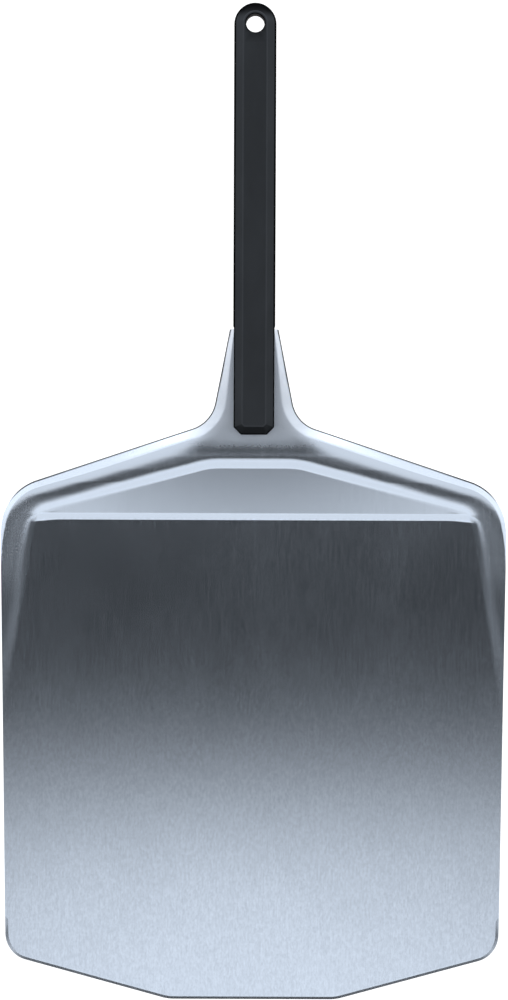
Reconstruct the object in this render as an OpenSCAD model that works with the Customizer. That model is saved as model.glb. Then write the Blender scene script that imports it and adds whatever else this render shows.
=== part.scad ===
// Pizza peel: a stamped sheet-aluminium blade with a raised rear rim and neck,
// and a two-shell moulded handle screwed around its tang.
// +Y runs from the front edge to the handle, +Z is up, z = 0 is the underside of the pan.

/* [Blade] */
// Half width of the blade at its widest, behind the pan
blade_half = 177.8; // [160:0.2:190]
// Half width of the blade at the front corners
front_half = 173.6; // [155:0.2:185]
// Distance from the origin to the straight front edge
front_y = 348.5; // [320:0.5:370]
// Half length of the straight front edge
front_flat = 59; // [40:1:90]
// Angle of the two slanted front edges
front_slant = 15.2; // [8:0.2:22]
// Radius of the front corners
front_r = 19.4; // [10:0.2:25]
// Radius of the rear corners
rear_r = 36.5; // [32:0.5:40]
// Sheet thickness
sheet_t = 1.5; // [1.2:0.1:1.8]
// Width of the bevel ground on the front edges
bevel_w = 2.1; // [1:0.1:3]
// Depth of that bevel
bevel_h = 0.9; // [0.3:0.1:1]

/* [Rim and neck] */
// Angle of the shoulders that run up to the neck
shoulder_angle = 18.5; // [16:0.5:21]
// Radius of the hollow between shoulder and neck
neck_r = 24; // [20:1:28]
// Distance from the origin to the end of the neck
neck_end = 122.5; // [118:0.5:126]
// Half width of the neck at its end
neck_half = 17.1; // [16:0.1:18]
// Height of the crest above the pan at the middle
crest_h = 4.8; // [4.5:0.1:6]
// Height of the crest above the pan at the rear corners
corner_h = 2.8; // [2.4:0.1:4]
// Depth of the turned-down flange
flange_drop = 8.3; // [6:0.1:9]
// Height of the first step, at the rear of the pan
step_h = 1.3; // [0.8:0.1:1.6]
// Slope of the flat ramp behind that step
ramp_angle = 3.2; // [2:0.2:6]

/* [Handle] */
// Length of the handle
handle_l = 300; // [280:1:305]
// Upward tilt of the neck and handle
tilt = 3.5; // [2.5:0.1:4]
// Half width of the front shell
front_shell_half = 14.2; // [13.6:0.1:14.6]
// Half width of the back shell
back_shell_half = 14.7; // [14:0.1:15.2]
// Thickness of the front shell
front_shell_h = 8.5; // [8:0.1:10]
// Thickness of the back shell
back_shell_h = 8; // [7.8:0.1:9]
// Width of the long bevels on the front shell
shell_bevel = 6; // [4:0.2:6.4]
// Radius of the hanging hole
hang_r = 6.4; // [5:0.1:6.8]

/* [Fasteners] */
// Shank radius of the screws through the tang
tang_screw_r = 1.95; // [1.5:0.05:1.95]
// Shank radius of the screws that close the shells
shell_screw_r = 1.45; // [1.2:0.05:1.45]

/* [Hidden] */

// ---- outline of the blade, right half ----
rear_cy = -18.5;                                  // centre of the rear corner arc
rear_cx = blade_half - 0.1 - rear_r;
n1 = [sin(shoulder_angle), cos(shoulder_angle)];  // outward normal of the shoulder
c1 = n1 * [rear_cx, rear_cy] + rear_r;
neck_taper = 0.196;
n2 = [1, neck_taper] / norm([1, neck_taper]);     // outward normal of the neck
c2 = n2 * [neck_half, neck_end];
side_k = (blade_half - front_half) / (300 + rear_cy - 9.5);
ns = [1, -side_k] / norm([1, side_k]);            // outward normal of the side
cs = ns * [front_half, -300];
n3 = [sin(front_slant), -cos(front_slant)];       // outward normal of the slanted front
c3 = n3 * [front_flat, -front_y];
function meet(na, ca, nb, cb) = let (q = na[0] * nb[1] - na[1] * nb[0])
    [(ca * nb[1] - na[1] * cb) / q, (na[0] * cb - ca * nb[0]) / q];
fil = meet(n1, c1 + neck_r, n2, c2 + neck_r);     // centre of the neck hollow
fco = meet(ns, cs - front_r, n3, c3 - front_r);   // centre of the front corner
vert_r = 30;                                      // soft vertex between flat and slant
vert_x = front_flat - vert_r * tan(front_slant / 2);
vert_y = -front_y + vert_r;
function side_x(y) = (cs - ns[1] * y) / ns[0];
function rt(v) = sqrt(max(0, v));

// half width of the outline moved inwards by d, at station y
function half_w(y, d) =
    y < fco[1] + (front_r - d) * ns[1] ? front_w(y, d)
    : y < rear_cy ? side_x(y) - d
    : y < rear_cy + (rear_r - d) * n1[1] ? rear_cx + rt(pow(rear_r - d, 2) - pow(y - rear_cy, 2))
    : y < fil[1] - (neck_r + d) * n1[1] ? (c1 - d - n1[1] * y) / n1[0]
    : y < fil[1] - (neck_r + d) * n2[1] ? fil[0] - rt(pow(neck_r + d, 2) - pow(y - fil[1], 2))
    : (c2 - d - n2[1] * y) / n2[0];
function front_w(y, d) =
    y > fco[1] + (front_r - d) * n3[1] ? fco[0] + rt(pow(front_r - d, 2) - pow(y - fco[1], 2))
    : y > vert_y + (vert_r - d) * n3[1] ? (c3 - d - n3[1] * y) / n3[0]
    : y >= -front_y + d ? vert_x + rt(pow(vert_r - d, 2) - pow(y - vert_y, 2))
    : 0;

// distance inwards from the sides, shoulders and neck
function in_cone(q, a, b) = let (k = meet([a[0], b[0]], q[0], [a[1], b[1]], q[1])) k[0] >= 0 && k[1] >= 0;
function edge_d(x, y) = let (p = [x, y])
    in_cone(p - [rear_cx, rear_cy], [1, 0], n1) ? rear_r - norm(p - [rear_cx, rear_cy])
    : min(cs - ns * p,
          in_cone(p - fil, -n1, -n2) ? norm(p - fil) - neck_r : max(c1 - n1 * p, c2 - n2 * p));
// distance inwards from the front edges
function front_d(x, y) = let (p = [x, y], qf = p - fco, qv = p - [vert_x, vert_y])
    in_cone(qf, ns, n3) ? front_r - norm(qf)
    : in_cone(qv, n3, [0, -1]) ? vert_r - norm(qv)
    : min(y + front_y, c3 - n3 * p, cs - ns * p);

// ---- height of the sheet above the pan ----
function sat(v) = max(0, min(1, v));
function ease(v) = let (s = sat(v)) s * s * (3 - 2 * s);
function smin(a, b, k) = let (g = max(k - abs(a - b), 0) / k) min(a, b) - g * g * k / 4;
function smax(a, b, k) = -smin(-a, -b, k);
ridge_end = -138;                                 // where the side ridges run out
// foot of the rim: level across the middle, slanting to the corners, then down the sides
foot_y0 = 26.7;
foot_x0 = 30.6;
nf = [sin(14.6), cos(14.6)];
cf = nf * [foot_x0, foot_y0];
nb = [cos(9.1), sin(9.1)];
cb = nb * [156, -25.4];
rim_w = 8.6;                                        // from the foot to the level crest
function foot_s(x, y) = smax(smax(y - foot_y0, nf * [x, y] - cf, 2), nb * [x, y] - cb, 9);
// half width of the foot line moved outwards by s
function foot_w(y, s) = min((cf + s - nf[1] * min(y, foot_y0 + s)) / nf[0], (cb + s - nb[1] * y) / nb[0]);
function flange_w(y) = lookup(y, [[-60, 0.5], [-40, 0.6], [-29, 1.2], [-18, 3.2], [0, 4.4], [12, 5.4], [22, 6.8], [60, 7.8], [73, 8], [94, 5.7], [neck_end, 3.2]]);
function level_d(y) = lookup(y, [[-138, 1.4], [-40, 8], [0, 14.5], [10, 16.6], [20, 18], [32, 19.5], [45, 19.5], [80, flange_w(80) + 3], [94, flange_w(94) + 3], [neck_end, flange_w(neck_end) + 3]]);
function neck_rise(y) = y < 34.5 ? 0 : y < 44 ? tan(tilt) * pow(y - 34.5, 2) / 19 : tan(tilt) * (y - 39.25);
function crest(x, y) = (crest_h - (crest_h - corner_h) * sat((x - 37) / 103)) * lookup(y, [[ridge_end, 0], [-110, 0.066], [-82, 0.17], [-53, 0.29], [-32, 0.43], [-22, 0.52], [-8, 0.67], [3, 0.82], [15, 1]]) + neck_rise(y);
function ramp(x, y) = step_h * sat(smax(y + 10.9, nb * [x, y] - cb + 0.6 * (y + 8), 9) / 3.6) + max(0, y + 7.3) * tan(ramp_angle) * (1 + 0.28 * pow(x / 140, 2));
function dome(y, d) = let (fw = flange_w(y), ld = level_d(y), k = 0.15 * lookup(y, [[-45, 0], [-18, 0.35], [10, 1]]))
    (ld - fw) * k / 3 * pow(sat((ld - d) / (ld - fw)), 3);
// the flange: a soft bend, a straight slope and a steep lip
function bend(f) = f < 0.2 ? f * f / 0.4 : f < 0.92 ? f - 0.1 : f - 0.1 + 17 * pow(f - 0.92, 2);
function flange_fade(y) = lookup(y, [[-48, 0], [-29, 0.4], [-18, 0.8], [-4, 1]]);
function flange(x, y, d) = let (f = sat(1 - d / flange_w(y)),
        fall = min(flange_drop, crest(x, y) - dome(y, 0) + 0.75) * flange_fade(y),
        k = min(0.15 * flange_w(y), fall) * flange_fade(y))
    k * f + (fall - k) * bend(f) / bend(1);
function height(px, y) = let (x = abs(px), u = sat(foot_s(x, y) / rim_w), s = 1 - pow(1 - u, lookup(y, [[-25, 2], [-5, 3.5]])), d = edge_d(x, y))
    ramp(x, y) * (1 - s) + (crest(x, y) - dome(y, d) - flange(x, y, d)) * s;

// ---- mesh stations ----
front_rows = [0, 0.2, 0.55, 1.05, bevel_w, 5, 11, 19, 26];
corner_rows = [for (i = [0 : 9]) fco[1] - front_r * cos(front_slant) * cos(90 * i / 9)];
side_rows = [-290, -230, -180, -150, -138, -126, -112, -96, -80, -66, -54, -44, -36, -29, -23];
ROWS0 = concat([for (v = front_rows) v - front_y], corner_rows, side_rows,
    [-18.5, -14, -10.9, -9.1, -7.3, -3.4, 0, 3, 6, 9, 11.5, 13.5, 15, 16.4, 18.5, 21, 23.5, 25.5, 26.7, 28, 29.5, 31.2, 33.1, 35.3],
    [38.5, 42, 45, 48, 50.6, 53, 55, 57.5, 60.5, 64, 68, 73, 80, 87, 94, 102, 110, 116.5, neck_end]);
ND = 13;                                          // columns that follow the rim
NI = 4;                                           // columns across the middle
function contour(y, i) = let (fw = flange_w(y), ld = level_d(y))
    i < 6 ? half_w(y, fw * [0, 0.08, 0.3, 0.8, 0.9, 1][i])
    : i == 6 ? half_w(y, fw + (ld - fw) * 0.45)
    : i == 7 ? half_w(y, ld)
    : i == 8 ? (half_w(y, ld) + foot_w(y, rim_w)) / 2
    : foot_w(y, rim_w * [1, 0.5, 0.2, 0][i - 9]);
function step_x(y, i) = i == 0 ? contour(y, 0) : min(contour(y, i), step_x(y, i - 1) - 0.25);
function col_x(y, i) = y < -290
    ? max(half_w(y, i == 0 ? 0 : bevel_w * (1 + 0.5 * (i - 1))), half_w(y, 0) * (1 - 0.02 * i))
    : max(step_x(y, i), 0.35 * (NI + ND - i));
HALF = [for (y = ROWS0) let (b = col_x(y, ND - 1))
    [for (i = [0 : ND - 1]) col_x(y, i), for (j = [1 : NI]) b * (1 - j / NI)]];
NR = len(ROWS0);
TI = 7;                                           // the tang is as wide as this column
tang_u = 150;                                     // tang length beyond the handle's foot
tang_ys = [neck_end + 25, 50 + tang_u - 4, 50 + tang_u];
// whole rows, from +x to -x
function whole(h) = concat(h, [for (i = [len(h) - 2 : -1 : 0]) -h[i]]);
XS = [for (h = HALF) whole(h)];
M = len(XS[0]);
function out_n(x, y) = let (e = 0.05, g = [edge_d(x - e, y) - edge_d(x + e, y), edge_d(x, y - e) - edge_d(x, y + e)])
    g / max(norm(g), 0.0001);
function surf_n(px, y) = let (x = abs(px), d = edge_d(x, y), p = [x, y] - out_n(x, y) * max(0, 0.3 - d), e = 0.15,
        gx = (height(p[0] + e, p[1]) - height(p[0] - e, p[1])) / (2 * e),
        gy = (height(p[0], p[1] + e) - height(p[0], p[1] - e)) / (2 * e), v = [px < 0 ? gx : -gx, -gy, 1])
    v / norm(v);
function top_z(x, y) = sheet_t + height(x, y)
    - (y < -290 ? bevel_h * sat(1 - front_d(abs(x), y) / bevel_w) * ease((-292 - y) / 18) : 0);
TOP = [for (r = [0 : NR - 1]) for (x = XS[r]) [x, ROWS0[r], top_z(x, ROWS0[r])]];
BOT = [for (r = [0 : NR - 1]) for (x = XS[r]) let (y = ROWS0[r])
    y < -150 ? [x, y, 0] : let (p = [x, y, sheet_t + height(x, y)] - sheet_t * surf_n(x, y)) [p[0], p[1], max(0, p[2])]];
// the tang continues the middle of the last row in a straight line
function along(p, dy) = p + [0, dy, dy * tan(tilt)];
LAST = (NR - 1) * M;
TT = [for (y = tang_ys) for (c = [TI : M - 1 - TI]) let (k = y == tang_ys[2] ? 0.72 : 1)
    let (p = [XS[NR - 1][c] * k, neck_end, sheet_t + crest(0, neck_end)]) along(p, y - neck_end)];
TB = [for (p = TT) p - sheet_t * [0, -sin(tilt), cos(tilt)]];
PTS = concat(TOP, BOT, TT, TB);
NT = len(TOP);
MT = M - 2 * TI;                                  // columns of the tang
function ti(r, c) = r < NR ? r * M + c : 2 * NT + (r - NR) * MT + (c - TI);
function bi(r, c) = r < NR ? NT + r * M + c : 2 * NT + len(TT) + (r - NR) * MT + (c - TI);
RR = NR + len(tang_ys);
function lo(r) = r < NR - 1 ? 0 : TI;
function hi(r) = r < NR - 1 ? M - 1 : M - 1 - TI;
function two(a, b, c, d) = [[a, b, c], [a, c, d]];
FACES = concat(
    [for (r = [0 : RR - 2]) for (c = [lo(r) : hi(r) - 1])
        each two(ti(r, c + 1), ti(r + 1, c + 1), ti(r + 1, c), ti(r, c))],
    [for (r = [0 : RR - 2]) for (c = [lo(r) : hi(r) - 1])
        each two(bi(r, c), bi(r + 1, c), bi(r + 1, c + 1), bi(r, c + 1))],
    [for (r = [0 : RR - 2]) each two(bi(r, lo(r)), ti(r, lo(r)), ti(r + 1, lo(r)), bi(r + 1, lo(r)))],
    [for (r = [0 : RR - 2]) each two(bi(r + 1, hi(r)), ti(r + 1, hi(r)), ti(r, hi(r)), bi(r, hi(r)))],
    [for (c = [0 : M - 2]) each two(bi(0, c + 1), ti(0, c + 1), ti(0, c), bi(0, c))],
    [for (c = concat([for (k = [0 : TI - 1]) k], [for (k = [M - 1 - TI : M - 2]) k]))
        each two(bi(NR - 1, c), ti(NR - 1, c), ti(NR - 1, c + 1), bi(NR - 1, c + 1))],
    [for (c = [TI : M - 2 - TI]) each two(bi(RR - 1, c), ti(RR - 1, c), ti(RR - 1, c + 1), bi(RR - 1, c + 1))]);

// ---- handle frame: y runs along the handle from its foot, z = 0 is the top of the sheet ----
foot_y = 48.8;
foot_z = sheet_t + crest(0, foot_y);
module handle_frame() { translate([0, foot_y, foot_z]) rotate([tilt, 0, 0]) children(); }
end_c = handle_l - back_shell_half;               // centre of the round end
neck_u = 74.6;                                    // where the back shell widens past the neck
screw_us = [30, 90, 128];
close_us = [160, 196, 232, 264];
seat = -5;                                        // both kinds of screw head seat here

module blade() {
    color("silver") difference() {
        polyhedron(points = PTS, faces = FACES, convexity = 8);
        handle_frame() for (u = screw_us) translate([0, u, -6]) cylinder(r = 2.3, h = 12, $fn = 48);
    }
}

// prism with a round end, from section points given for x > 0
module bar(pts, from, to, $fn = 96) {
    translate([0, to, 0]) rotate([90, 0, 0]) linear_extrude(to - from)
        polygon(concat(pts, [for (i = [len(pts) - 1 : -1 : 0]) [-pts[i][0], pts[i][1]]]));
}
module round_end(pts) { translate([0, end_c, 0]) rotate_extrude($fn = 96) polygon(concat([[0, pts[0][1]]], pts, [[0, pts[len(pts) - 1][1]]])); }
// removes all that lies beyond a plane leaning back by a from upright
module shave(p, turn, a) { translate(p) rotate([0, 0, turn]) rotate([-a, 0, 0]) translate([-30, -20, -30]) cube([60, 20, 60]); }

module handle_front_shell() {
    w = front_shell_half; h = front_shell_h; b = shell_bevel;
    sec = [[w, 0], [w, h - 3], [w - b, h]];
    cav = [[w - 2.8, -1], [w - 2.8, h - 5], [w - b - 0.6, h - 2.4]];
    color([0.13, 0.14, 0.16]) handle_frame() difference() {
        union() {
            bar(sec, 0, end_c);
            round_end(sec);
        }
        // hollow, with bosses and ribs left standing in it
        difference() {
            bar(cav, 9, end_c - 14);
            for (u = screw_us) translate([0, u, -2]) cylinder(r = 4.6, h = h, $fn = 48);
            for (u = close_us) translate([0, u, -2]) cylinder(r = 3.6, h = h, $fn = 48);
            for (u = concat(screw_us, close_us)) translate([-w, u - 0.8, -2]) cube([2 * w, 1.6, h]);
            for (u = [60, 109, 144, 178, 214, 248]) translate([-w, u - 0.8, -2]) cube([2 * w, 1.6, h]);
        }
        for (u = screw_us) translate([0, u, -1]) cylinder(r = 2.75, h = 6.5, $fn = 48);
        for (u = close_us) translate([0, u, -1]) cylinder(r = 1.5, h = 6.8, $fn = 48);
        translate([0, end_c, -1]) cylinder(r = hang_r, h = h + 2, $fn = 96);
        // foot: two corners cut, then the bevels that meet there
        shave([w - 5.2, 0, 0], 45, 0);
        shave([-w + 5.2, 0, 0], -45, 0);
        shave([0, 0, h - 3], 0, 66);
        shave([w - 5.2, 0, h - 3], 45, 64);
        shave([-w + 5.2, 0, h - 3], -45, 64);
    }
}

module handle_back_shell() {
    w = back_shell_half; h = back_shell_h;
    sec = [[w - 4, -h], [w, 2.6 - h], [w, 0]];
    nose = [[10, -h], [12.2, 2 - h], [12.2, -3.6], [10.2, -sheet_t]];
    cav = [[w - 5.2, 2.4 - h], [w - 2.9, 4.2 - h], [w - 2.9, 1]];
    color([0.13, 0.14, 0.16]) handle_frame() difference() {
        union() {
            bar(sec, neck_u, end_c);
            round_end(sec);
            bar(nose, 8, neck_u + 1);
        }
        // pocket for the tang
        translate([-11.3, neck_u - 5, -sheet_t]) cube([22.6, tang_u + 2.6 - neck_u + 5, sheet_t + 1]);
        difference() {
            bar(cav, neck_u + 4, end_c - 14);
            for (u = screw_us) translate([0, u, -h]) cylinder(r = 5.4, h = h - sheet_t, $fn = 48);
            for (u = close_us) translate([0, u, -h]) cylinder(r = 4.8, h = h, $fn = 48);
            for (u = concat([109, 144], screw_us)) translate([-w, u - 0.8, -h]) cube([2 * w, 1.6, h - sheet_t]);
            for (u = concat([178, 214, 248], close_us)) translate([-w, u - 0.8, -h]) cube([2 * w, 1.6, h]);
        }
        for (u = screw_us) translate([0, u, -h - 1]) { cylinder(r = 2.3, h = h + 2, $fn = 48); cylinder(r = 3.9, h = h + 1 + seat, $fn = 48); }
        for (u = close_us) translate([0, u, -h - 1]) { cylinder(r = 1.7, h = h + 2, $fn = 48); cylinder(r = 3.1, h = h + 1 + seat, $fn = 48); }
        translate([0, end_c, -h - 1]) cylinder(r = hang_r, h = h + 2, $fn = 96);
        // nose: corners and lip taken off
        shave([12.2 - 5, 8, 0], 45, 0);
        shave([-12.2 + 5, 8, 0], -45, 0);
    }
}

// screw with a socket in its head; the head is below its seat
module screw(r, top, head_r, head_h, key) {
    difference() {
        union() {
            translate([0, 0, seat]) cylinder(r = r, h = top - seat - 0.4, $fn = 48);
            translate([0, 0, top - 0.4]) cylinder(r1 = r, r2 = r - 0.4, h = 0.4, $fn = 48);
            translate([0, 0, seat - head_h]) cylinder(r = head_r, h = head_h, $fn = 48);
        }
        translate([0, 0, seat - head_h - 1]) cylinder(r = key, h = 1 + 0.6 * head_h, $fn = 6);
    }
}
module tang_screws() { color([0.45, 0.46, 0.48]) handle_frame() for (u = screw_us) translate([0, u, 0]) screw(tang_screw_r, 4.8, 3.5, 2.3, 1.45); }
module shell_screws() { color([0.3, 0.31, 0.33]) handle_frame() for (u = close_us) translate([0, u, 0]) screw(shell_screw_r, 4.6, 2.7, 1.8, 1.15); }
module tang_inserts() {
    color([0.78, 0.62, 0.28]) handle_frame() for (u = screw_us) translate([0, u, 0]) difference() {
        union() {
            translate([0, 0, 0.5]) cylinder(r = 2.7, h = 1.7, $fn = 48);
            translate([0, 0, 2.2]) cylinder(r = 2.4, h = 1.2, $fn = 48);
            translate([0, 0, 3.4]) cylinder(r = 2.7, h = 2.1, $fn = 48);
        }
        translate([0, 0, -1]) cylinder(r = 2, h = 8, $fn = 48);
    }
}

blade();
handle_front_shell();
handle_back_shell();
tang_screws();
tang_inserts();
shell_screws();
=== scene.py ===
"""Pizza peel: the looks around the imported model. Metres, +Y towards the handle, +Z up."""
import math

import bmesh
import bpy
import numpy as np
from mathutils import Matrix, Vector


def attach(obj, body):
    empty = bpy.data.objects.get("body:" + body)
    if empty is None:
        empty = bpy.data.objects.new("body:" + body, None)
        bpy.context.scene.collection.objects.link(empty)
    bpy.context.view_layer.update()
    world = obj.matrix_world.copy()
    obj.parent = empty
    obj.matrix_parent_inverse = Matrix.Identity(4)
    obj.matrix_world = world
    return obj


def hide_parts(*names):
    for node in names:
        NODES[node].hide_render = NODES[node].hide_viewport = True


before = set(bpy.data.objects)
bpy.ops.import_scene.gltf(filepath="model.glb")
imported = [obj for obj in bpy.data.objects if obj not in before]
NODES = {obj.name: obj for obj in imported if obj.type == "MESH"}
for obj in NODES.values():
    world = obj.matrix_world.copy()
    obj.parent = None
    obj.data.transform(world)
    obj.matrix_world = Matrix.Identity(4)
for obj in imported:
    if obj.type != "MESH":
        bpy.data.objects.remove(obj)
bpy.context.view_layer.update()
MM = 0.001

# ------------------------------------------------------------------ shape of the blade (mm)
BLADE_HALF, FRONT_HALF, FRONT_Y, FRONT_FLAT = 177.8, 173.6, 348.5, 59.0
FRONT_R, REAR_R, SHEET = 19.4, 36.5, 1.5
BEVEL_W, BEVEL_H = 2.1, 0.9
NECK_R, NECK_END, NECK_HALF = 24.0, 122.5, 17.1
CREST_H, CORNER_H, FLANGE_DROP, STEP_H = 4.8, 2.8, 8.3, 1.3
RAMP = math.tan(math.radians(3.2))
TILT = math.radians(3.5)


def unit(v):
    v = np.array(v, float)
    return v / np.linalg.norm(v)


def meet(na, ca, nb, cb):
    q = na[0] * nb[1] - na[1] * nb[0]
    return np.array([(ca * nb[1] - na[1] * cb) / q, (na[0] * cb - ca * nb[0]) / q])


REAR_C = np.array([BLADE_HALF - 0.1 - REAR_R, -18.5])
A1 = math.radians(18.5)
N1 = np.array([math.sin(A1), math.cos(A1)])
C1 = N1 @ REAR_C + REAR_R
N2 = unit([1, 0.196])
C2 = N2 @ np.array([NECK_HALF, NECK_END])
SIDE_K = (BLADE_HALF - FRONT_HALF) / (300 - 18.5 - 9.5)
NS = unit([1, -SIDE_K])
CS = NS @ np.array([FRONT_HALF, -300.0])
A3 = math.radians(15.2)
N3 = np.array([math.sin(A3), -math.cos(A3)])
C3 = N3 @ np.array([FRONT_FLAT, -FRONT_Y])
FIL = meet(N1, C1 + NECK_R, N2, C2 + NECK_R)
FCO = meet(NS, CS - FRONT_R, N3, C3 - FRONT_R)
VERT_R = 30.0
VERT = np.array([FRONT_FLAT - VERT_R * math.tan(A3 / 2), -FRONT_Y + VERT_R])


def rt(v):
    return math.sqrt(max(0.0, v))


def half_w(y, d):
    """Half width of the outline moved inwards by d, at station y."""
    if y < FCO[1] + (FRONT_R - d) * NS[1]:
        if y > FCO[1] + (FRONT_R - d) * N3[1]:
            return FCO[0] + rt((FRONT_R - d) ** 2 - (y - FCO[1]) ** 2)
        if y > VERT[1] + (VERT_R - d) * N3[1]:
            return (C3 - d - N3[1] * y) / N3[0]
        if y >= -FRONT_Y + d:
            return VERT[0] + rt((VERT_R - d) ** 2 - (y - VERT[1]) ** 2)
        return 0.0
    if y < REAR_C[1]:
        return (CS - NS[1] * y) / NS[0] - d
    if y < REAR_C[1] + (REAR_R - d) * N1[1]:
        return REAR_C[0] + rt((REAR_R - d) ** 2 - (y - REAR_C[1]) ** 2)
    if y < FIL[1] - (NECK_R + d) * N1[1]:
        return (C1 - d - N1[1] * y) / N1[0]
    if y < FIL[1] - (NECK_R + d) * N2[1]:
        return FIL[0] - rt((NECK_R + d) ** 2 - (y - FIL[1]) ** 2)
    return (C2 - d - N2[1] * y) / N2[0]


def in_cone(qx, qy, a, b):
    q = a[0] * b[1] - a[1] * b[0]
    k0 = (qx * b[1] - b[0] * qy) / q
    k1 = (a[0] * qy - qx * a[1]) / q
    return (k0 >= 0) & (k1 >= 0)


def edge_d(x, y):
    dx, dy = x - REAR_C[0], y - REAR_C[1]
    fx, fy = x - FIL[0], y - FIL[1]
    inner = np.where(in_cone(fx, fy, -N1, -N2), np.hypot(fx, fy) - NECK_R,
                     np.maximum(C1 - N1[0] * x - N1[1] * y, C2 - N2[0] * x - N2[1] * y))
    return np.where(in_cone(dx, dy, np.array([1.0, 0.0]), N1), REAR_R - np.hypot(dx, dy),
                    np.minimum(CS - NS[0] * x - NS[1] * y, inner))


def front_d(x, y):
    ax, ay = x - FCO[0], y - FCO[1]
    bx, by = x - VERT[0], y - VERT[1]
    return np.where(in_cone(ax, ay, NS, N3), FRONT_R - np.hypot(ax, ay),
                    np.where(in_cone(bx, by, N3, np.array([0.0, -1.0])), VERT_R - np.hypot(bx, by),
                             np.minimum(np.minimum(y + FRONT_Y, C3 - N3[0] * x - N3[1] * y), CS - NS[0] * x - NS[1] * y)))


def sat(v):
    return np.clip(v, 0, 1)


def ease(v):
    s = sat(v)
    return s * s * (3 - 2 * s)


def smin(a, b, k):
    g = np.maximum(k - np.abs(a - b), 0) / k
    return np.minimum(a, b) - g * g * k / 4


def look(y, table, soft=3.0):
    """Table of stations, its corners softened so that no line shows in the metal."""
    xs, vs = zip(*table)
    return sum(w * np.interp(y + o * soft, xs, vs) for o, w in ((-1.5, .1), (-.75, .2), (0, .4), (.75, .2), (1.5, .1)))


def smax(a, b, k):
    return -smin(-a, -b, k)


RIDGE_END, RIM_W = -138.0, 8.6
FOOT_X0, FOOT_Y0 = 30.6, 26.7
AF, AB = math.radians(14.6), math.radians(9.1)
NF = np.array([math.sin(AF), math.cos(AF)])
CF = NF @ np.array([FOOT_X0, FOOT_Y0])
NB = np.array([math.cos(AB), math.sin(AB)])
CB = NB @ np.array([156.0, -25.4])
FLANGE_W = [(-60, .5), (-40, .6), (-29, 1.2), (-18, 3.2), (0, 4.4), (12, 5.4), (22, 6.8), (60, 7.8), (73, 8), (94, 5.7), (NECK_END, 3.2)]


def foot_s(x, y):
    """Distance outwards from the foot of the rim: level in the middle, slanting, then down the sides."""
    return smax(smax(y - FOOT_Y0, NF[0] * x + NF[1] * y - CF, 2), NB[0] * x + NB[1] * y - CB, 9)


def foot_w(y, s):
    return min((CF + s - NF[1] * min(y, FOOT_Y0 + s)) / NF[0], (CB + s - NB[1] * y) / NB[0])


def flange_w(y):
    return look(y, FLANGE_W)


def level_d(y):
    return look(y, [(-138, 1.4), (-40, 8), (0, 14.5), (10, 16.6), (20, 18), (32, 19.5), (45, 19.5), (80, 10.2), (94, 8.7), (NECK_END, 6.2)], 4)


def neck_rise(y):
    return np.where(y < 34.5, 0, np.where(y < 44, math.tan(TILT) * (y - 34.5) ** 2 / 19, math.tan(TILT) * (y - 39.25)))


def soft_clamp(s, k=0.1):
    """0 to 1 ramp whose two corners are rounded."""
    return np.where(s < -k, 0, np.where(s < k, (s + k) ** 2 / (4 * k), np.where(s < 1 - k, s, np.where(s < 1 + k, 1 - (1 + k - s) ** 2 / (4 * k), 1))))


GROW = [(RIDGE_END, 0), (-110, .066), (-82, .17), (-53, .29), (-32, .43), (-22, .52), (-8, .67), (3, .82), (15, 1)]


def crest(x, y):
    return (CREST_H - (CREST_H - CORNER_H) * soft_clamp((x - 37) / 103)) * look(y, GROW, 12) + neck_rise(y)


def ramp(x, y):
    q = smax(y + 10.9, NB[0] * x + NB[1] * y - CB + 0.6 * (y + 8), 9)
    return STEP_H * soft_clamp(q / 3.6, 0.14) + np.maximum(0, y + 7.3) * RAMP * (1 + 0.28 * (x / 140) ** 2)


def dome(y, d):
    fw, ld = flange_w(y), level_d(y)
    k = 0.15 * look(y, [(-45, 0), (-18, .35), (10, 1)])
    return (ld - fw) * k / 3 * sat((ld - d) / (ld - fw)) ** 3


def bend(f):
    return np.where(f < 0.2, f * f / 0.4, np.where(f < 0.92, f - 0.1, f - 0.1 + 17 * (f - 0.92) ** 2))


def flange(x, y, d):
    """A soft bend, a straight slope and a steep lip."""
    fw = flange_w(y)
    f = sat(1 - d / fw)
    fade = look(y, [(-48, 0), (-29, .4), (-18, .8), (-4, 1)])
    fall = np.minimum(FLANGE_DROP, crest(x, y) - dome(y, 0) + 0.75) * fade
    k = np.minimum(0.15 * fw, fall) * fade
    return k * f + (fall - k) * bend(f) / bend(np.array(1.0))


def rise(x, y):
    """0 on the pan and ramp, 1 on the crest."""
    q = foot_s(x, y)
    e = 1.5
    q = np.where(q < -e, 0, np.where(q < e, (q + e) ** 2 / (4 * e), q))
    u = sat(q / RIM_W)
    return 1 - (1 - u) ** look(y, [(-25, 2), (-5, 3.5)], 4)


def height(px, y):
    x = np.abs(px)
    d, s = edge_d(x, y), rise(x, y)
    return ramp(x, y) * (1 - s) + (crest(x, y) - dome(y, d) - flange(x, y, d)) * s


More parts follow.
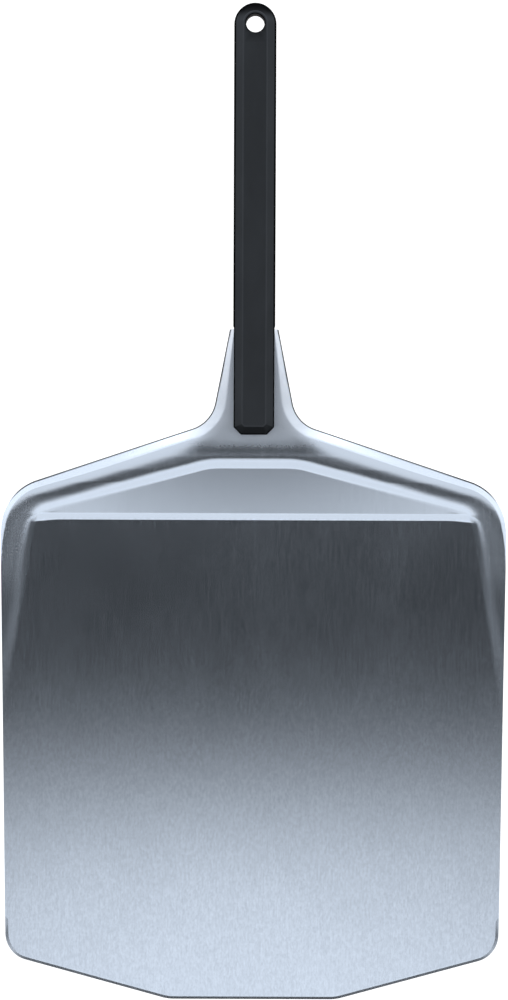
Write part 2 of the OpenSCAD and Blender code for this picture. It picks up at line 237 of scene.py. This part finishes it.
# ------------------------------------------------------------------ blade mesh
def blade_mesh():
    rows = [-FRONT_Y + v for v in (0, .08, .2, .38, .62, .9, 1.3, 1.7, 2.1, 2.6, 4, 6, 8.5, 11, 14, 17, 20, 23, 25.5)]
    a = np.linspace(0, 90, 23)
    rows += [FCO[1] - FRONT_R * math.cos(A3) * math.cos(math.radians(t)) for t in a]
    rows += list(np.arange(-299, -14, 3.0)) + list(np.arange(-13.5, -5, 0.4)) + list(np.arange(-5, 20, 0.8))
    rows += list(np.arange(20, 60, 0.6)) + list(np.arange(60, NECK_END - 0.5, 1.3)) + [NECK_END]
    rows = sorted(set(round(r, 4) for r in rows))
    fs = [0, .015, .03, .045, .06, .08, .12, .22, .35, .5, .65, .8, .84, .88, .92, .96]
    rs = [1, .86, .72, .58, .46, .35, .26, .18, .12, .06, 0, -.05, -.1, -.18]
    nc, nm, ni = 9, 5, 20
    nd = len(fs) + nc + nm + len(rs)
    half = []
    for y in rows:
        ya = np.array(float(y))
        fw, ld = float(flange_w(ya)), float(level_d(ya))
        cs = [half_w(y, fw * k) for k in fs] + [half_w(y, fw + (ld - fw) * k / nc) for k in range(nc)]
        xl, xr = half_w(y, ld), foot_w(y, RIM_W)
        cs += [xl + (xr - xl) * k / nm for k in range(nm)]
        cs += [foot_w(y, RIM_W * k) for k in rs]
        w0 = half_w(y, 0)
        if y < -290:
            xs = [max(half_w(y, BEVEL_W * i / 7.0), w0 * (1 - 0.009 * i)) for i in range(nd)]
        else:
            xs = [max(min(v, w0 - 0.03 * i), 0.2 * (ni + nd - i)) for i, v in enumerate(cs)]
            xs = [min(xs[:i + 1]) - 0.004 * i for i in range(nd)]
        b = xs[-1]
        xs += [b * (1 - j / ni) for j in range(1, ni + 1)]
        half.append(xs + [-v for v in xs[-2::-1]])
    X = np.array(half)
    R, M = X.shape
    Y = np.repeat(np.array(rows)[:, None], M, 1)
    H = height(X, Y)
    fz = np.where(Y < -290, BEVEL_H * sat(1 - front_d(np.abs(X), Y) / BEVEL_W) * ease((-292 - Y) / 18), 0)
    top = np.stack([X, Y, SHEET + H - fz], -1)
    # unit normals of the unbevelled surface, taken just inside the edge
    ax = np.abs(X)
    e = 0.05
    g = np.stack([edge_d(ax - e, Y) - edge_d(ax + e, Y), edge_d(ax, Y - e) - edge_d(ax, Y + e)], -1)
    g /= np.maximum(np.linalg.norm(g, axis=-1, keepdims=True), 1e-4)
    move = np.maximum(0, 0.3 - edge_d(ax, Y))
    qx, qy = ax - g[..., 0] * move, Y - g[..., 1] * move
    e = 0.15
    gx = (height(qx + e, qy) - height(qx - e, qy)) / (2 * e)
    gy = (height(qx, qy + e) - height(qx, qy - e)) / (2 * e)
    n = np.stack([-np.sign(X) * gx, -gy, np.ones_like(gx)], -1)
    n /= np.linalg.norm(n, axis=-1, keepdims=True)
    bot = np.stack([X, Y, SHEET + H], -1) - SHEET * n
    flat = Y < -150
    bot[flat, 2] = 0
    bot[..., 2] = np.maximum(bot[..., 2], 0)
    # the tang inside the handle, as a continuation of the last row's middle
    c0 = int(np.argmin(np.abs(X[-1, :M // 2] - 10.9)))
    tang = [NECK_END + 30, NECK_END + 60, 195.0, 200.0]
    z0 = SHEET + float(crest(np.array(0.0), np.array(NECK_END)))
    tt, tb = [], []
    for i, y in enumerate(tang):
        k = 0.72 if i == 3 else 1.0
        for c in range(c0, M - c0):
            p = np.array([X[-1, c] * k, y, z0 + (y - NECK_END) * math.tan(TILT)])
            tt.append(p)
            tb.append(p - SHEET * np.array([0, -math.sin(TILT), math.cos(TILT)]))
    MT = M - 2 * c0
    NT = R * M
    verts = np.concatenate([top.reshape(-1, 3), bot.reshape(-1, 3), np.array(tt), np.array(tb)])
    L = len(tt)

    def ti(r, c):
        return r * M + c if r < R else 2 * NT + (r - R) * MT + c - c0

    def bi(r, c):
        return NT + r * M + c if r < R else 2 * NT + L + (r - R) * MT + c - c0

    RR = R + len(tang)
    faces = []
    for r in range(RR - 1):
        lo, hi = (0, M - 1) if r < R - 1 else (c0, M - 1 - c0)
        for c in range(lo, hi):
            faces.append((ti(r, c), ti(r + 1, c), ti(r + 1, c + 1), ti(r, c + 1)))
            faces.append((bi(r, c + 1), bi(r + 1, c + 1), bi(r + 1, c), bi(r, c)))
        faces.append((bi(r, lo), bi(r + 1, lo), ti(r + 1, lo), ti(r, lo)))
        faces.append((ti(r, hi), ti(r + 1, hi), bi(r + 1, hi), bi(r, hi)))
    for c in range(M - 1):
        faces.append((bi(0, c), ti(0, c), ti(0, c + 1), bi(0, c + 1)))
    for c in list(range(c0)) + list(range(M - 1 - c0, M - 1)):
        faces.append((ti(R - 1, c), bi(R - 1, c), bi(R - 1, c + 1), ti(R - 1, c + 1)))
    for c in range(c0, M - 1 - c0):
        faces.append((ti(RR - 1, c), bi(RR - 1, c), bi(RR - 1, c + 1), ti(RR - 1, c + 1)))
    me = bpy.data.meshes.new("blade_sheet")
    me.from_pydata((verts * MM).tolist(), [], faces)
    me.update()
    # what the material needs to know of each point
    vx, vy = np.abs(verts[:, 0]), verts[:, 1]
    d_ = edge_d(vx, np.minimum(vy, NECK_END))
    on_rim = ease((rise(vx, np.minimum(vy, NECK_END)) - 0.55) / 0.45)
    neck = on_rim * ease((vy - 33) / 26) * ease((62 - vx) / 34)
    corner = on_rim * ease((vx - 135) / 25) * ease((vy + 75) / 40)
    press = np.maximum(np.maximum(neck, 0.16 * corner), 0.08 * on_rim * ease((vy + 20) / 20))
    # painted shade along the outermost 0.7 mm of the sheet's edge, from the shoulders back to the neck
    painted_edge_shade = (1 - ease((d_ - 0.7) / 0.25)) * ease((vy + 2) / 12)
    fd_ = front_d(vx, vy)
    ground = np.where(vy < -290, 1 - ease((fd_ - BEVEL_W + 0.25) / 0.5), 0)
    ground[NT:] = 0
    rim = 1 - ease(np.minimum(edge_d(vx, vy), np.where(vy < -250, fd_, 1e3)) / 2.2)
    for name, val in (("press", press), ("ground", ground), ("rim", rim), ("painted_edge_shade", painted_edge_shade), ("weave", 1 - ease((verts[:, 2] - 1.6) / 0.3))):
        at = me.attributes.new(name, "FLOAT", "POINT")
        at.data.foreach_set("value", np.asarray(val, np.float32))
    uv = me.uv_layers.new(name="grain")
    li = np.zeros(len(me.loops), np.int32)
    me.loops.foreach_get("vertex_index", li)
    co = verts[li] * MM
    uv.data.foreach_set("uv", np.stack([co[:, 0] + 0.25, co[:, 1] + 0.4], -1).astype(np.float32).ravel())
    return me


def add(name, me, smooth_deg=32):
    me.shade_smooth()
    me.set_sharp_from_angle(angle=math.radians(smooth_deg))
    ob = bpy.data.objects.new(name, me)
    bpy.context.scene.collection.objects.link(ob)
    return ob


def tidy(me, dist=1e-6):
    """Welds, drops slivers and turns every face outwards."""
    bm = bmesh.new()
    bm.from_mesh(me)
    bmesh.ops.remove_doubles(bm, verts=bm.verts, dist=dist)
    bmesh.ops.dissolve_degenerate(bm, edges=bm.edges, dist=dist)
    bmesh.ops.recalc_face_normals(bm, faces=bm.faces)
    bm.to_mesh(me)
    bm.free()
    return me


# ------------------------------------------------------------------ handle shells (handle frame, mm)
FOOT_Y = 48.8
FOOT_Z = SHEET + float(crest(np.array(0.0), np.array(FOOT_Y)))
END_C = 300 - 14.7
HANG_R = 6.4
NECK_U = 74.6
SCREW_US, CLOSE_US = (30, 90, 128), (160, 196, 232, 264)


def to_row(p):
    """Handle frame to row frame, in metres."""
    x, u, w = p
    return (x * MM, (FOOT_Y + u * math.cos(TILT) - w * math.sin(TILT)) * MM,
            (FOOT_Z + u * math.sin(TILT) + w * math.cos(TILT)) * MM)


def fillet(a, v, b, r, n=4):
    a, v, b = (np.array(p, float) for p in (a, v, b))
    d1, d2 = unit(a - v), unit(b - v)
    ang = math.acos(max(-1, min(1, float(d1 @ d2))))
    if r <= 0 or ang > math.pi - 1e-3:
        return [tuple(v)] * (n + 1)
    t = min(r / math.tan(ang / 2), 0.49 * np.linalg.norm(a - v), 0.49 * np.linalg.norm(b - v))
    r = t * math.tan(ang / 2)
    c = v + unit(d1 + d2) * r / math.sin(ang / 2)
    p0, p1 = v + d1 * t - c, v + d2 * t - c
    full = math.acos(max(-1, min(1, float(unit(p0) @ unit(p1)))))
    out = []
    for k in range(n + 1):
        s = k / n
        q = (math.sin((1 - s) * full) * p0 + math.sin(s * full) * p1) / math.sin(full)
        out.append(tuple(c + q))
    return out


def profile(points):
    """points: (d, w, radius); every inner corner is rounded by its radius."""
    out = [tuple(points[0][:2])]
    for i in range(1, len(points) - 1):
        out += fillet(points[i - 1][:2], points[i][:2], points[i + 1][:2], points[i][2], 5)
    return out + [tuple(points[-1][:2])]


def outline(half, foot, cham, d, far=None, sides=40, arc=72):
    """Points of the plan outline moved inwards by d: chamfered foot, then a round end, or a square one at far."""
    w = half - d
    y0 = foot + d
    s2 = math.sqrt(2)
    v1 = (half - cham - d * (s2 - 1), y0)
    v2 = (w, foot + cham + d * (s2 - 1))
    rc = max(0.4, 1.3 - 0.12 * d)
    right = fillet((0, y0), v1, v2, rc) + fillet(v1, v2, (w, foot + 60), rc)
    top = END_C if far is None else far
    right += [(w, v2[1] + 4 + (top - v2[1] - 4) * k / sides) for k in range(sides)]
    if far is None:
        mid = [(w * math.cos(math.pi * k / arc), END_C + w * math.sin(math.pi * k / arc)) for k in range(arc + 1)]
    else:
        mid = [(w - 2 * w * k / 8, far) for k in range(9)]
    return right + mid + [(-x, y) for x, y in right[::-1]]


def loop_fill(bm, loops):
    es = []
    for lp in loops:
        for i in range(len(lp)):
            a, b = lp[i], lp[(i + 1) % len(lp)]
            es.append(bm.edges.get((a, b)) or bm.edges.new((a, b)))
    bmesh.ops.triangle_fill(bm, use_beauty=True, use_dissolve=False, edges=es)


def bar_bm(half, foot, cham, prof, far=None, hang=None):
    """A closed bar: rings of the outline along a section profile; hang = (radius, rim rounding) makes the hole."""
    bm = bmesh.new()
    rings = []
    for d, w in prof:
        rings.append([bm.verts.new((x, y, w)) for x, y in outline(half, foot, cham, d, far)])
    n = len(rings[0])
    for a, b in zip(rings, rings[1:]):
        for i in range(n):
            j = (i + 1) % n
            bm.faces.new((a[i], a[j], b[j], b[i]))
    first, last = [rings[0]], [rings[-1]]
    if hang:
        r, e = hang
        w0, w1 = prof[0][1], prof[-1][1]
        s = 1 if w1 > w0 else -1
        pts = [(r + 0.12, w0)] + [(r, w0 + s * 0.12)]
        pts += [(r, w1 - s * e)] + [(r + e * (1 - math.cos(math.radians(t))), w1 - s * e * (1 - math.sin(math.radians(t)))) for t in (18, 36, 54, 72, 90)]
        hs = [[bm.verts.new((rr * math.cos(2 * math.pi * k / 96), END_C + rr * math.sin(2 * math.pi * k / 96), w)) for k in range(96)] for rr, w in pts]
        for a, b in zip(hs, hs[1:]):
            for i in range(96):
                j = (i + 1) % 96
                bm.faces.new((a[i], b[i], b[j], a[j]))
        first.append(hs[0])
        last.append(hs[-1])
    loop_fill(bm, first)
    loop_fill(bm, last)
    bmesh.ops.recalc_face_normals(bm, faces=bm.faces)
    return bm


def lathe_bm(pts, u, n=64):
    """Closed turned solid about the w axis at station u."""
    bm = bmesh.new()
    rings = []
    for r, w in pts:
        rings.append([bm.verts.new((r * math.cos(2 * math.pi * k / n), u + r * math.sin(2 * math.pi * k / n), w)) for k in range(n)] if r > 0
                     else [bm.verts.new((0, u, w))])
    for a, b in zip(rings, rings[1:]):
        for i in range(n):
            j = (i + 1) % n
            f = [a[i % len(a)], a[j % len(a)], b[j % len(b)], b[i % len(b)]]
            f = [v for k, v in enumerate(f) if v not in f[:k]]
            if len(f) > 2:
                bm.faces.new(f)
    bmesh.ops.recalc_face_normals(bm, faces=bm.faces)
    return bm


def as_object(bm, name):
    me = bpy.data.meshes.new(name)
    bm.to_mesh(me)
    bm.free()
    ob = bpy.data.objects.new(name, me)
    bpy.context.scene.collection.objects.link(ob)
    return ob


def boolean(target, tool, op):
    m = target.modifiers.new("cut", "BOOLEAN")
    m.operation, m.object, m.solver = op, tool, "EXACT"
    dg = bpy.context.evaluated_depsgraph_get()
    me = bpy.data.meshes.new_from_object(target.evaluated_get(dg))
    target.modifiers.clear()
    old = target.data
    target.data = me
    bpy.data.meshes.remove(old)
    bpy.data.objects.remove(tool)


def place(ob):
    me = ob.data
    co = np.zeros(len(me.vertices) * 3)
    me.vertices.foreach_get("co", co)
    co = co.reshape(-1, 3)
    local = co.copy()
    out = np.array([to_row(p) for p in co])
    me.vertices.foreach_set("co", out.ravel())
    me.update()
    return local


def paint(ob, half, cham):
    """Marks painted shade down the shell's outer walls and round edge, on the hang hole's rim and, on the front shell,
    on the end and foot bevels, and a painted highlight and wear line inside the edge, then moves the shell to its
    place.
    """
    co = place(ob)
    x, u, w = np.abs(co[:, 0]), co[:, 1], co[:, 2]
    d = np.minimum(half - x, np.minimum(u, (half - cham - x + u) / math.sqrt(2)) if half < 14.5 else 99)
    d = np.where(u > END_C, half - np.hypot(x, u - END_C), d)
    hole = np.hypot(x, u - END_C) - HANG_R
    # painted shade: near-black down the shell's outer side walls and round edge, along the parting line, and round the
    # hang hole's rim
    painted_shade = np.maximum(1 - ease((d - 0.72) / 0.26), 1 - ease((hole - 0.5) / 0.2))
    if half < 14.5:
        # painted shade on the round end's bevel
        painted_shade = np.maximum(painted_shade, 0.93 * ease((u - END_C - 2) / 8) * ease((5.9 - d) / 0.8) * (w > 5))
        # painted shade on the foot bevel
        painted_shade = np.maximum(painted_shade, 0.55 * ease((8 - u) / 1.5) * ease((5.9 - d) / 0.8) * (np.minimum(u, (half - cham - x + u) / math.sqrt(2)) < half - x) * (w > 5))
    # painted highlight, with some wear, along the line where the top bevel meets the flat top
    edge = np.maximum(0, 1 - np.abs(d - 6) / 0.75) * (w > 7)
    for name, val in (("painted_shade", painted_shade), ("edge", edge)):
        at = ob.data.attributes.new(name, "FLOAT", "POINT")
        at.data.foreach_set("value", np.asarray(val, np.float32))


def front_shell():
    prof = profile([(0.12, 0, 0), (0, 0.12, 0), (0, 5.5, 0.7), (0.75, 5.875, 0), (1.0, 6.0, 0), (5.3, 8.15, 0), (6, 8.5, 0.5), (6.6, 8.5, 0), (6.9, 8.5, 0)])
    ob = as_object(bar_bm(14.2, 0, 5.2, prof, hang=(HANG_R, 0.6)), "handle_front")
    paint(ob, 14.2, 5.2)
    tidy(ob.data, 2e-7)
    return ob


def back_shell():
    prof = profile([(0.12, 0, 0), (0, -0.12, 0), (0, -5.4, 0.8), (4, -8, 1.0), (4.5, -8, 0)])
    ob = as_object(bar_bm(14.7, NECK_U, 0.7, prof, hang=(HANG_R, 0.45)), "handle_back")
    nose = as_object(bar_bm(12.2, 8, 5, profile([(2, -1.5, 0), (0.1, -3.5, 0.4), (0, -6, 0.6), (2.2, -8, 0.8), (2.8, -8, 0)]), far=NECK_U + 6), "nose")
    boolean(ob, nose, "UNION")
    for u in SCREW_US:
        tool = as_object(lathe_bm([(0, -9), (4.45, -9), (4.45, -8.2), (3.9, -7.6), (3.9, -5), (2.3, -5), (2.3, 1), (0, 1)], u), "tool")
        boolean(ob, tool, "DIFFERENCE")
    for u in CLOSE_US:
        tool = as_object(lathe_bm([(0, -9), (3.6, -9), (3.6, -8.2), (3.1, -7.65), (3.1, -5), (1.7, -5), (1.7, -0.6), (0, -0.6)], u), "tool")
        boolean(ob, tool, "DIFFERENCE")
    paint(ob, 14.7, 0.7)
    tidy(ob.data, 2e-7)
    return ob


# ------------------------------------------------------------------ node helpers
class Mat:
    def __init__(self, name):
        self.m = bpy.data.materials.new(name)
        self.m.use_nodes = True
        self.t = self.m.node_tree
        self.t.nodes.clear()
        self.out = self.n("ShaderNodeOutputMaterial")
        self.b = self.n("ShaderNodeBsdfPrincipled")
        self.t.links.new(self.b.outputs[0], self.out.inputs[0])

    def n(self, kind, **kw):
        node = self.t.nodes.new(kind)
        for k, v in kw.items():
            setattr(node, k, v)
        return node

    def put(self, sock, v):
        if isinstance(v, bpy.types.NodeSocket):
            self.t.links.new(v, sock)
        else:
            sock.default_value = v

    def math(self, op, a, b=0.0, c=None, clamp=False):
        node = self.n("ShaderNodeMath", operation=op, use_clamp=clamp)
        self.put(node.inputs[0], a)
        self.put(node.inputs[1], b)
        if c is not None:
            self.put(node.inputs[2], c)
        return node.outputs[0]

    def coords(self, scale, kind="Object"):
        tc = self.n("ShaderNodeTexCoord")
        mp = self.n("ShaderNodeMapping")
        self.t.links.new(tc.outputs[kind], mp.inputs[0])
        mp.inputs["Scale"].default_value = scale
        return mp.outputs[0]

    def noise(self, scale, detail=2.0, rough=0.5, s=1.0, dist=0.0):
        nz = self.n("ShaderNodeTexNoise")
        self.put(nz.inputs["Vector"], self.coords(scale))
        nz.inputs["Scale"].default_value = s
        nz.inputs["Detail"].default_value = detail
        nz.inputs["Roughness"].default_value = rough
        nz.inputs["Distortion"].default_value = dist
        return nz.outputs["Fac"]

    def remap(self, v, a, b, c, d, smooth=False):
        mr = self.n("ShaderNodeMapRange", interpolation_type="SMOOTHSTEP" if smooth else "LINEAR")
        self.put(mr.inputs[0], v)
        for i, k in enumerate((a, b, c, d)):
            self.put(mr.inputs[i + 1], k)
        return mr.outputs[0]

    def mix(self, f, a, b, mode="MIX"):
        mx = self.n("ShaderNodeMix", data_type="RGBA", blend_type=mode)
        self.put(mx.inputs[0], f)
        self.put(mx.inputs[6], a)
        self.put(mx.inputs[7], b)
        return mx.outputs[2]

    def attr(self, name):
        return self.n("ShaderNodeAttribute", attribute_name=name).outputs["Fac"]

    def bump(self, h, dist, strength=1.0, normal=None):
        bp = self.n("ShaderNodeBump")
        bp.inputs["Strength"].default_value = strength
        bp.inputs["Distance"].default_value = dist
        self.put(bp.inputs["Height"], h)
        if normal is not None:
            self.put(bp.inputs["Normal"], normal)
        return bp.outputs[0]


def aluminium():
    m = Mat("brushed_aluminium")
    b = m.b
    press, ground, painted_edge_shade = m.attr("press"), m.attr("ground"), m.attr("painted_edge_shade")
    fine = m.noise((1700, 40, 40), 3, 0.6)
    broad = m.noise((420, 7, 7), 2, 0.5)
    cloud = m.noise((14, 9, 14), 3, 0.55)
    peel = m.noise((900, 620, 900), 3, 0.55)
    grain = m.math("ADD", m.math("MULTIPLY", fine, 0.65), m.math("MULTIPLY", broad, 0.35))
    weave = m.noise((720, 330, 330), 2, 0.6)
    tone = m.math("ADD", m.math("MULTIPLY", m.remap(weave, 0.3, 0.7, -0.08, 0.08), m.attr("weave")), m.remap(grain, 0.25, 0.75, 0.98, 1.01))
    tone = m.math("MULTIPLY", tone, m.remap(cloud, 0.3, 0.7, 0.985, 1.01))
    comb = m.n("ShaderNodeCombineColor")
    for i in range(3):
        m.put(comb.inputs[i], tone)
    base = m.mix(1.0, (0.86, 0.885, 0.92, 1), comb.outputs[0], "MULTIPLY")
    base = m.mix(m.math("MULTIPLY", ground, 0.5), base, (0.70, 0.71, 0.73, 1))
    base = m.mix(m.math("MULTIPLY", press, 0.9), base, (0.97, 0.975, 0.99, 1))
    # painted shade: near-black colour along the sheet's outer edge on the shoulders and neck
    base = m.mix(painted_edge_shade, base, (0.035, 0.037, 0.042, 1))
    m.put(b.inputs["Base Color"], base)
    b.inputs["Metallic"].default_value = 1.0
    rough = m.remap(fine, 0.3, 0.7, 0.15, 0.185)
    rough = m.math("ADD", rough, m.math("MULTIPLY", press, m.remap(peel, 0.35, 0.65, 0.4, 0.58)))
    rough = m.math("ADD", rough, m.math("MULTIPLY", m.remap(cloud, 0.35, 0.75, 0, 1), 0.02))
    rough = m.math("ADD", rough, m.math("MULTIPLY", ground, 0.1))
    m.put(b.inputs["Roughness"], rough)
    b.inputs["Anisotropic"].default_value = 0.85
    b.inputs["Anisotropic Rotation"].default_value = 0.0
    tg = m.n("ShaderNodeTangent", direction_type="UV_MAP")
    tg.uv_map = "grain"
    m.put(b.inputs["Tangent"], tg.outputs[0])
    peel_h = m.math("MULTIPLY", m.math("SUBTRACT", peel, 0.5), m.math("ADD", m.math("MULTIPLY", press, 0.9), 0.02))
    n1 = m.bump(peel_h, 0.00012)
    n2 = m.bump(grain, 0.000004, normal=n1)
    m.put(b.inputs["Normal"], n2)
    return m.m


def nylon(name, dark=1.0):
    m = Mat(name)
    b = m.b
    g1 = m.noise((2600, 2600, 2600), 2, 0.6)
    g2 = m.noise((900, 900, 900), 2, 0.5)
    smudge = m.noise((55, 22, 55), 4, 0.6)
    painted_shade, edge = m.attr("painted_shade"), m.attr("edge")
    col = m.mix(m.remap(smudge, 0.35, 0.7, 0, 1, True), (0.0048 * dark, 0.0052 * dark, 0.0057 * dark, 1), (0.0088 * dark, 0.0094 * dark, 0.0102 * dark, 1))
    # painted highlight and wear: a lighter line where the top bevel meets the flat top
    col = m.mix(m.math("MULTIPLY", edge, 0.9), col, (0.034, 0.035, 0.037, 1))
    # painted shade: the marked places turn near-black, and metallic with this dark colour takes away their reflection
    # too
    col = m.mix(painted_shade, col, (0.0012, 0.0012, 0.0013, 1))
    m.put(b.inputs["Base Color"], col)
    m.put(b.inputs["Metallic"], painted_shade)
    rough = m.math("ADD", m.remap(smudge, 0.3, 0.7, 0.29, 0.39), m.math("MULTIPLY", g2, 0.08))
    m.put(b.inputs["Roughness"], m.math("MAXIMUM", rough, m.math("MULTIPLY", painted_shade, 0.85)))
    b.inputs["Specular IOR Level"].default_value = 0.62
    h = m.math("ADD", m.math("MULTIPLY", g1, 0.5), g2)
    m.put(b.inputs["Normal"], m.bump(h, 0.00006))
    return m.m


def metal(name, col, rough):
    m = Mat(name)
    b = m.b
    g = m.noise((2200, 2200, 300), 3, 0.6)
    s = m.noise((300, 300, 300), 2, 0.5)
    m.put(b.inputs["Base Color"], m.mix(m.remap(s, 0.3, 0.7, 0, 1), (*[c * 0.85 for c in col], 1), (*col, 1)))
    b.inputs["Metallic"].default_value = 1.0
    m.put(b.inputs["Roughness"], m.remap(g, 0.3, 0.7, rough - 0.06, rough + 0.08))
    m.put(b.inputs["Normal"], m.bump(g, 0.00002))
    return m.m


# ------------------------------------------------------------------ pieces
blade = add("blade_sheet", blade_mesh(), 30)
blade.data.materials.append(aluminium())
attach(blade, "root")
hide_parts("blade")

front = front_shell()
back = back_shell()
for ob, node, slot, mat in ((front, "handle_front_shell", "handle_nylon", nylon("nylon_front")),
                            (back, "handle_back_shell", "handle_nylon_back", nylon("nylon_back", 0.9))):
    ob.data.shade_smooth()
    ob.data.set_sharp_from_angle(angle=math.radians(35))
    ob.data.materials.clear()
    ob.data.materials.append(mat)
    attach(ob, "root")
    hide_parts(node)

for node, mat in (("tang_screws", metal("zinc_screw", (0.62, 0.63, 0.65), 0.3)),
                  ("tang_inserts", metal("turned_brass", (0.80, 0.60, 0.26), 0.3)),
                  ("shell_screws", metal("black_oxide_screw", (0.16, 0.16, 0.17), 0.4))):
    o = NODES[node]
    o.data.materials.clear()
    o.data.materials.append(mat)

# ------------------------------------------------------------------ floor, light, camera
fm = bpy.data.meshes.new("floor")
fm.from_pydata([(-6, -6, -0.0002), (6, -6, -0.0002), (6, 6, -0.0002), (-6, 6, -0.0002)], [], [(0, 1, 2, 3)])
floor = bpy.data.objects.new("floor", fm)
bpy.context.scene.collection.objects.link(floor)
fmat = Mat("floor_paint")
fmat.b.inputs["Base Color"].default_value = (0.42, 0.4, 0.38, 1)
fmat.b.inputs["Roughness"].default_value = 0.9
fmat.b.inputs["Specular IOR Level"].default_value = 0.0
fmat.b.inputs["Emission Color"].default_value = (1, 1, 1, 1)
fmat.b.inputs["Emission Strength"].default_value = 1.0
fm.materials.append(fmat.m)


def studio():
    """A soft surround: two wide panels overhead, front and back, with a dark slot between them, and pale sides."""
    w = bpy.data.worlds.new("studio")
    bpy.context.scene.world = w
    w.use_nodes = True
    t = w.node_tree
    t.nodes.clear()
    h = Mat.__new__(Mat)
    h.t = t
    out = h.n("ShaderNodeOutputWorld")
    bg = h.n("ShaderNodeBackground")
    t.links.new(bg.outputs[0], out.inputs[0])
    tc = h.n("ShaderNodeTexCoord")
    sep = h.n("ShaderNodeSeparateXYZ")
    t.links.new(tc.outputs["Generated"], sep.inputs[0])
    x, y, z = sep.outputs
    deg = 180 / math.pi
    a = h.math("MULTIPLY", h.math("ARCTAN2", y, z), deg)           # + towards the back
    side = h.math("MULTIPLY", h.math("ARCTAN2", h.math("ABSOLUTE", x), z), deg)
    flat = h.math("SQRT", h.math("ADD", h.math("MULTIPLY", x, x), h.math("MULTIPLY", y, y)))
    down = h.math("MULTIPLY", h.math("ARCTAN2", flat, z), deg)
    azim = h.math("MULTIPLY", h.math("ARCTAN2", h.math("ABSOLUTE", x), h.math("ABSOLUTE", y)), deg)
    far = h.math("ADD", h.remap(a, -13, -30, 1.03, 0.9, True), h.remap(a, -42, -58, 0, 0.3, True))
    front = h.math("MULTIPLY", h.remap(a, -3.9, -8.7, 0, 1, True), far)
    back = h.math("MULTIPLY", h.remap(a, 1.1, 5.2, 0, 1, True), h.remap(a, 20, 42, 0.82, 1.2, True))
    ends_f = h.math("MULTIPLY", h.remap(azim, 36, 52, 1, 0, True), h.remap(down, 46, 52, 0, 0.98, True))
    ends_b = h.math("MULTIPLY", h.remap(azim, 9, 14, 1, 0, True), h.math("MULTIPLY", h.remap(down, 40, 47, 0, 0.97, True), h.remap(down, 72, 80, 1, 0, True)))
    panels = h.math("ADD", h.math("MULTIPLY", front, h.math("SUBTRACT", 1.0, ends_f)), h.math("MULTIPLY", back, h.math("SUBTRACT", 1.0, ends_b)))
    wings = h.math("MULTIPLY", h.remap(azim, 40, 56, 0, 0.95, True), h.remap(down, 6, 15, 0, 1, True))
    wings = h.math("MULTIPLY", wings, h.remap(y, 0.0, -0.02, 0, 1))
    panels = h.math("MULTIPLY", panels, h.math("SUBTRACT", 1.0, wings))
    low = h.math("MULTIPLY", h.remap(down, 56, 72, 0, 0.8, True), h.remap(y, -0.3, 0.2, 0.1, 1, True))
    panels = h.math("MULTIPLY", panels, h.math("ADD", 1.0, low))
    gap = h.math("MULTIPLY", h.remap(azim, 27, 35, 0, 0.5, True), h.remap(down, 59, 64, 0, 1, True))
    panels = h.math("MULTIPLY", panels, h.math("SUBTRACT", 1.0, gap))
    sides = h.remap(side, 53, 74, 0, 1.5, True)
    level = h.math("MAXIMUM", panels, sides)
    level = h.math("ADD", level, 0.03)
    col = h.n("ShaderNodeCombineColor")
    for i, k in enumerate((0.80, 0.885, 1.0)):
        h.put(col.inputs[i], h.math("MULTIPLY", level, k))
    t.links.new(col.outputs[0], bg.inputs[0])
    bg.inputs[1].default_value = 1.0


studio()

cam_d = bpy.data.cameras.new("camera")
cam = bpy.data.objects.new("camera", cam_d)
bpy.context.scene.collection.objects.link(cam)
bpy.context.scene.camera = cam
CAM_H = 1.9
cam_d.sensor_width = 36
cam_d.lens = 36 * CAM_H / 0.7042
cam.location = (0.0003, 0.0028, CAM_H)
cam.rotation_euler = (0, 0, math.radians(0.22))
cam_d.clip_start, cam_d.clip_end = 0.05, 50
bpy.context.scene.view_settings.view_transform = "Standard"
bpy.context.scene.view_settings.look = "None"
